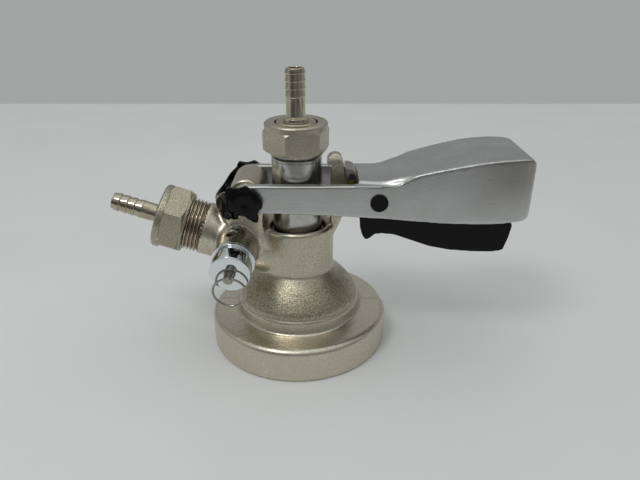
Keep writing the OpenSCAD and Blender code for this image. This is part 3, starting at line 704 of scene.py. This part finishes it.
thread_profile = [(THREAD_ROOT, z) for z in np.arange(THREAD_LOW, THREAD_HIGH, PITCH / 12)]
thread_profile += [(THREAD_ROOT, THREAD_HIGH), (THREAD_BORE, THREAD_HIGH), (THREAD_BORE, THREAD_LOW)]
gas_thread = turned("gas_thread", thread_profile, GAS_PLACE, 144,
                    helix(THREAD_CREST, THREAD_ROOT, THREAD_LOW, THREAD_HIGH), sharp=60)
dress(gas_thread, THREAD_NICKEL, "cast_nickel", "body")

# %% [markdown]
# ## Nuts
# A hexagon nut is a turned disc whose radius is cut down to the hexagon. Where the turned
# chamfer meets a flat, the smaller of the two radii wins, and the curved line that every real
# nut has between them comes by itself. The gas nut was left as cast, so it has a coarse sandy
# skin, and the beer nut a finer one.

# %% The nuts
def hexagon(across_flats, turn, low, high):
    """A radius function for turned(): flats between low and high, with softened corners."""
    def shape(r, z, a):
        offset = (np.degrees(a) - turn + 30) % 60 - 30
        limit = across_flats / 2 / np.cos(np.radians(30 - np.abs(offset)))
        soft = 0.12
        mixed_r = -soft * np.logaddexp(-r / soft, -limit / soft)
        return np.where((z > low - 0.01) & (z < high + 0.01) & (r > across_flats / 2 - 1.5), mixed_r, r)
    return shape


def nut(name, across_flats, turn, low, high, foot, collar, bore, shoulder, lip, place):
    """foot and collar are the (radius, end height) of the round parts below and above the hexagon."""
    corner = across_flats / 2 / math.cos(math.radians(30))
    (foot_r, foot_low), (collar_r, top) = foot, collar
    profile = [(bore + 0.4, foot_low), (foot_r - 0.4, foot_low), (foot_r, foot_low + 0.4),
               (foot_r, low), (corner - 1.76, low), (corner + 0.1, low + 1.16), (corner + 0.1, high - 1.3),
               (collar_r, high - 0.15), (collar_r, high), (collar_r, top - 0.8), (collar_r - 0.8, top),
               (lip + 0.3, top), (lip, top - 0.3), (lip, shoulder), (bore, shoulder), (bore, foot_low + 0.4)]
    return turned(name, filled(eased(profile, 0.3), 0.35), place, 240,
                  hexagon(across_flats, turn, low, high - 0.1), turn, 40)


beer_nut = nut("beer_nut_made", 28, 14, 102.3, 113.0, (13.2, 100.9), (15.1, 116.0), 11.5, 111.9, 10.3,
               Matrix())
gas_nut = nut("gas_nut_made", 30, 0, 59.8, 69.9, (15.0, 58.4), (15.9, 73.0), 13.28, 69.2, 9.3,
              GAS_PLACE)
dress(beer_nut, SMOOTHER_NICKEL, "turned_nickel", "probe", "beer_nut")
dress(gas_nut, SANDED_NICKEL, "turned_nickel", "body", "gas_nut")

# %% [markdown]
# ## Hose tails
# The hose is pushed over saw-tooth barbs that let it on and not off. Each barb rises steeply at
# the back, has a narrow crest and falls slowly to the next one.

# %% The hose tails
def tail(name, low, flange_r, flange_h, hub_r, hub_h, shoulder_r, barb_low, bite, step, tip, place):
    """bite is the depth of a barb, step the way from crest to crest, tip the part past the last."""
    crest, land, length, bore, crests = 4.7, 0.6, 22.6, 3.0, 4
    root = crest - bite
    top = barb_low + length
    first = top - tip - (crests - 1) * step
    profile = [(bore, low), (flange_r, low), (flange_r, low + flange_h), (hub_r, low + flange_h),
               (hub_r, low + hub_h - 0.6), (hub_r - 0.6, low + hub_h), (shoulder_r, low + hub_h),
               (shoulder_r, barb_low), (crest - 0.2, barb_low + 0.6), (crest - 0.2, first - 0.25)]
    for i in range(crests):
        z = first + i * step
        profile += [(crest, z), (crest, z + land), (root, z + (step if i < crests - 1 else tip - 0.3))]
    profile += [(bore + 0.25, top), (bore, top - 0.3)]
    return turned(name, eased(profile, 0.16), place, 96, sharp=35)


beer_tail = tail("beer_tail_made", 109.62, 10.9, 2.2, 9.6, 6.5, 6.2, 117.7, 0.4, 3.4, 2.65, Matrix())
gas_tail = tail("gas_tail_made", 66.6, 12.0, 2.4, 9.0, 7.2, 6.6, 74.4, 0.65, 3.75, 4.2, GAS_PLACE)
dress(beer_tail, TURNED_NICKEL, "turned_nickel", "probe", "beer_hose_tail")
dress(gas_tail, TURNED_NICKEL, "turned_nickel", "body", "gas_hose_tail")

# %% [markdown]
# ## The relief valve
# A chromed cap hides the spring, and a stem with a wire ring comes out of its face. The mirror
# finish shows the ring twice, once for real and once in the cap. The ring is bent from wire and
# its two ends meet a little apart, so it is swept along a path and not along a circle.

# %% The relief valve
COLLAR_LOW, COLLAR_HIGH = -10.8, -9.0
cap_profile = [(2.5, 0), (9.6, 0), (9.6, COLLAR_HIGH), (6.43, COLLAR_HIGH), (6.43, -16), (5.2, -16),
               (5.2, -2.4), (2.5, -2.4)]
collar_profile = [(6.55, COLLAR_LOW), (10.5, COLLAR_LOW), (10.5, COLLAR_HIGH), (6.55, COLLAR_HIGH)]
cap = turned("relief_cap_made", eased(cap_profile, 0.45, 4), RELIEF_PLACE, 160)
collar = turned("relief_collar_made", eased(collar_profile, 0.5, 4), RELIEF_PLACE, 160)
dress(cap, MIRROR_CHROME, "chrome", "body", "relief_cap")
dress(collar, MIRROR_CHROME, "chrome", "body", "relief_collar")


def swept_wire(name, path, radius, sides=16):
    """A round wire along open points, in millimetres, with rounded ends."""
    path = np.array(path, float)
    along = np.gradient(path, axis=0)
    along /= np.linalg.norm(along, axis=1)[:, None]
    side = np.cross(along, np.array([0, 1.0, 0.0]))
    side /= np.linalg.norm(side, axis=1)[:, None]
    other = np.cross(along, side)
    a = np.linspace(0, 2 * math.pi, sides, endpoint=False)
    swell = np.full(len(path), radius)
    swell[[0, -1]] *= 0.55
    spokes = np.cos(a)[None, :, None] * side[:, None] + np.sin(a)[None, :, None] * other[:, None]
    points = (path[:, None] + swell[:, None, None] * spokes).reshape(-1, 3)
    i, k = np.meshgrid(np.arange(len(path) - 1), np.arange(sides), indexing="ij")
    n = (k + 1) % sides
    faces = np.stack([i * sides + k, i * sides + n, (i + 1) * sides + n, (i + 1) * sides + k], -1)
    faces = faces.reshape(-1, 4).tolist()
    faces += [list(range(sides)), list(range((len(path) - 1) * sides, len(path) * sides))]
    mesh = bpy.data.meshes.new(name)
    mesh.from_pydata((points * MM).tolist(), [], faces)
    return settled(name, mesh, RELIEF_PLACE)


RING_R, RING_Z, WIRE_R = 7.9, 3.2, 0.55
turns = np.radians(np.linspace(-8, 352, 150))
ring_path = [(RING_R - RING_R * math.cos(t), RING_R * math.sin(t), RING_Z + 0.14 * math.sin(t / 2))
             for t in turns]
ring = swept_wire("pull_ring_made", ring_path, WIRE_R)
dress(ring, DRAWN_STEEL, "steel", "ring", "pull_ring")

# %% [markdown]
# ## The handle
# The handle's solid is right in outline, but a tumbled casting has no sharp edges. The grip's
# long creases are about two millimetres round, and the arms' only half a millimetre. The arms run
# on under the grip's top for a while: outside a slanted line the metal stays flat at the height
# of the arms, and inside it the top swells up by a millimetre, until both meet further on.

# %% The handle
def on_the_grip(p):
    return ease(p[:, 0], 30, 60)


def shoulder_line(p):
    """Keeps the arms' flat top outside the slanted line and raises the grip's top inside it."""
    flat_z, swelling = 89.8, 1.0
    line = 12.4 + (p[:, 0] - 27) * 0.21
    top = (p[:, 2] > 88.9) & (p[:, 0] > 27)
    outside = ease(np.abs(p[:, 1]), line - 0.6, line + 0.6) * (1 - ease(p[:, 0], 44, 56))
    raised = p[:, 2] + swelling * (1 - ease(p[:, 0], 44, 56))
    p[:, 2] = np.where(top, raised + (flat_z - raised) * outside, p[:, 2])
    return p


handle = remade("lever_handle", 0.5, [(None, 3), (on_the_grip, 14)], shoulder_line)
handle.name = handle.data.name = "handle"
sharpen(handle.data, 50)
dress(handle, TUMBLED_ALUMINIUM, "alu", "lever", "lever_handle")

# %% [markdown]
# ## The trigger
# A moulded channel under the grip. Its edges are rounded like those of any moulding.

# %% The trigger
trigger = remade("trigger", 0.4, [(None, 5)])
trigger.name = trigger.data.name = "trigger_made"
sharpen(trigger.data, 50)
dress(trigger, BLACK_NYLON, "black_nylon", "trigger", "trigger")

# %% [markdown]
# ## The hinge clip
# One glossy moulding holds the hinge pin: a lobed disc on each side of the arms and a strap
# around the back. The discs slope down towards their rims, have a small dimple at the middle and
# are a little narrower at the lower left.

# %% The hinge clip
DISC_X, DISC_Z = -23.6, 82
clip = remade("hinge_clip", 0.35, [(None, 5)])
shape = points_of(clip.data) / MM
from_middle = np.hypot(shape[:, 0] - DISC_X, shape[:, 2] - DISC_Z)
outer = np.abs(shape[:, 1]) > 20.6
dent = 0.45 * np.exp(-(from_middle / 1.0) ** 2) + 1.1 * ease(from_middle, 5.0, 8.5)
shape[:, 1] -= np.where(outer, np.sign(shape[:, 1]) * dent, 0)
facing_down = np.degrees(np.arctan2(shape[:, 2] - DISC_Z, shape[:, 0] - DISC_X)) % 360
waist = ease(facing_down, 205, 222) * (1 - ease(facing_down, 262, 285)) * (np.abs(shape[:, 1]) > 18)
drawn_in = 1 - 0.17 * waist * ease(from_middle, 3, 7)
shape[:, 0] = DISC_X + (shape[:, 0] - DISC_X) * drawn_in
shape[:, 2] = DISC_Z + (shape[:, 2] - DISC_Z) * drawn_in
put_points(clip.data, shape * MM)
clip.name = clip.data.name = "hinge_clip_made"
sharpen(clip.data, 60)
dress(clip, GLOSSY_NYLON, "black_gloss", "body", "hinge_clip")

# %% [markdown]
# ## The pieces that keep their solids
# Pins, seals, springs and the parts inside are right as they are. Each only gets its finish.

# %% Finishes for the other nodes
KEPT = {
    "probe_tube": POLISHED_STEEL, "relief_stem": DRAWN_STEEL, "relief_spring": DRAWN_STEEL,
    "trigger_spring": DRAWN_STEEL, "hinge_pin": DRAWN_STEEL, "drive_pins": DRAWN_STEEL,
    "latch_block": DARK_ZINC, "latch_pin": BARE_BRASS, "latch_buffer": DULL_RUBBER,
    "trigger_pin": GLOSSY_NYLON, "keg_seal": DULL_RUBBER, "neck_o_ring": DULL_RUBBER,
    "probe_tip_seal": DULL_RUBBER, "beer_washer": DULL_RUBBER, "gas_washer": DULL_RUBBER,
    "gas_check_valve": DULL_RUBBER, "relief_seal": DULL_RUBBER, "ball_cage": WHITE_ACETAL,
    "check_ball": WHITE_ACETAL,
}
for name, finish in KEPT.items():
    data = nodes[name].data
    data.materials.clear()
    data.materials.append(finish)
    sharpen(data, 32)
print("kept solids:", len(KEPT))
